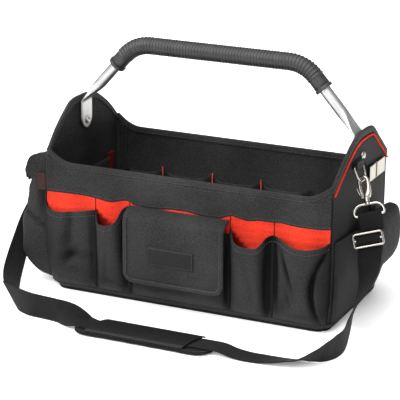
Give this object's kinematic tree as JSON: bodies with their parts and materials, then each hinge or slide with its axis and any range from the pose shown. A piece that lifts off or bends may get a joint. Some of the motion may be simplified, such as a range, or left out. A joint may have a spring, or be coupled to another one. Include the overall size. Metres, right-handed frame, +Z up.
{
  "type": "open tool tote bag",
  "caption": "Open-top tool tote bag in stiff black cloth with a swinging tube handle, outside pockets and a padded shoulder strap laid in front.",
  "frame": {"origin": "middle of the flat base, on the floor", "axes": "+X along the bag, +Y towards its back, +Z up; the front with the pockets faces -Y"},
  "size_m": [0.6547, 0.4262, 0.4148],
  "materials": {
    "black_cloth": "coarse coated polyester",
    "red_cloth": "plain woven lining",
    "webbing": "ribbed polypropylene webbing",
    "base": "moulded, matt",
    "steel": "nickel plated",
    "handle_tube": "satin drawn tube",
    "grip_rubber": "ribbed, matt"
  },
  "bodies": {
    "bag": {"shell_floor": "black_cloth", "shell_front": "black_cloth", "shell_back": "black_cloth", "shell_left": "black_cloth", "shell_right": "black_cloth", "base_panel": "base", "base_piping": "black_cloth", "rim_binding": "black_cloth", "front_backing": "red_cloth", "front_band": "black_cloth", "pocket_1": "black_cloth", "pocket_2": "black_cloth", "flap_pocket": "black_cloth", "pocket_3": "black_cloth", "pocket_4": "black_cloth", "front_flap": "black_cloth", "flap_tape": "black_cloth", "flap_label": "black_cloth", "left_end_pocket": "black_cloth", "right_end_pocket": "black_cloth", "left_end_flap": "black_cloth", "right_end_flap": "black_cloth", "side_tag": "black_cloth", "left_piping": "red_cloth", "left_patch": "black_cloth", "right_piping": "red_cloth", "right_patch": "black_cloth", "left_rivet": "steel", "right_rivet": "steel", "left_ring_tab": "webbing", "left_ring": "steel", "left_hook": "steel", "left_bow": "steel", "right_ring_tab": "webbing", "right_ring": "steel", "right_hook": "steel", "right_bow": "steel", "tape_clip": "steel", "clip_webbing": "webbing", "strap_buckle": "steel", "strap_right_loop": "webbing", "strap_right": "webbing", "strap_left": "webbing", "strap_left_rise": "webbing", "strap_left_loop": "webbing", "pad_base": "black_cloth", "pad_sleeve": "black_cloth", "back_inside_pocket_1": "black_cloth", "back_inside_pocket_2": "black_cloth", "back_inside_pocket_3": "black_cloth", "back_inside_pocket_4": "black_cloth", "back_inside_pocket_5": "black_cloth", "end_inside_pocket": "black_cloth"},
    "handle": {"handle_tube": "handle_tube", "handle_grip": "grip_rubber"},
    "left_gate": {"left_hook_gate": "steel"},
    "right_gate": {"right_hook_gate": "steel"}
  },
  "joints": [
    {"name": "handle_pivot", "type": "hinge", "parent": "bag", "child": "handle", "pos_m": [0, 0, 0.262], "axis": [1, 0, 0], "range_deg": [-98, 98]},
    {"name": "left_gate_pivot", "type": "hinge", "parent": "bag", "child": "left_gate", "pos_m": [-0.27019, 0.02566, 0.20736], "axis": [0, -0.9983, 0.058], "range_deg": [0, 25], "stiffness_Nm_per_rad": 0.01, "springref_deg": -20.05},
    {"name": "right_gate_pivot", "type": "hinge", "parent": "bag", "child": "right_gate", "pos_m": [0.26692, -0.03767, 0.20907], "axis": [0, 0.8946, -0.4468], "range_deg": [0, 25], "stiffness_Nm_per_rad": 0.01, "springref_deg": -20.05}
  ]
}
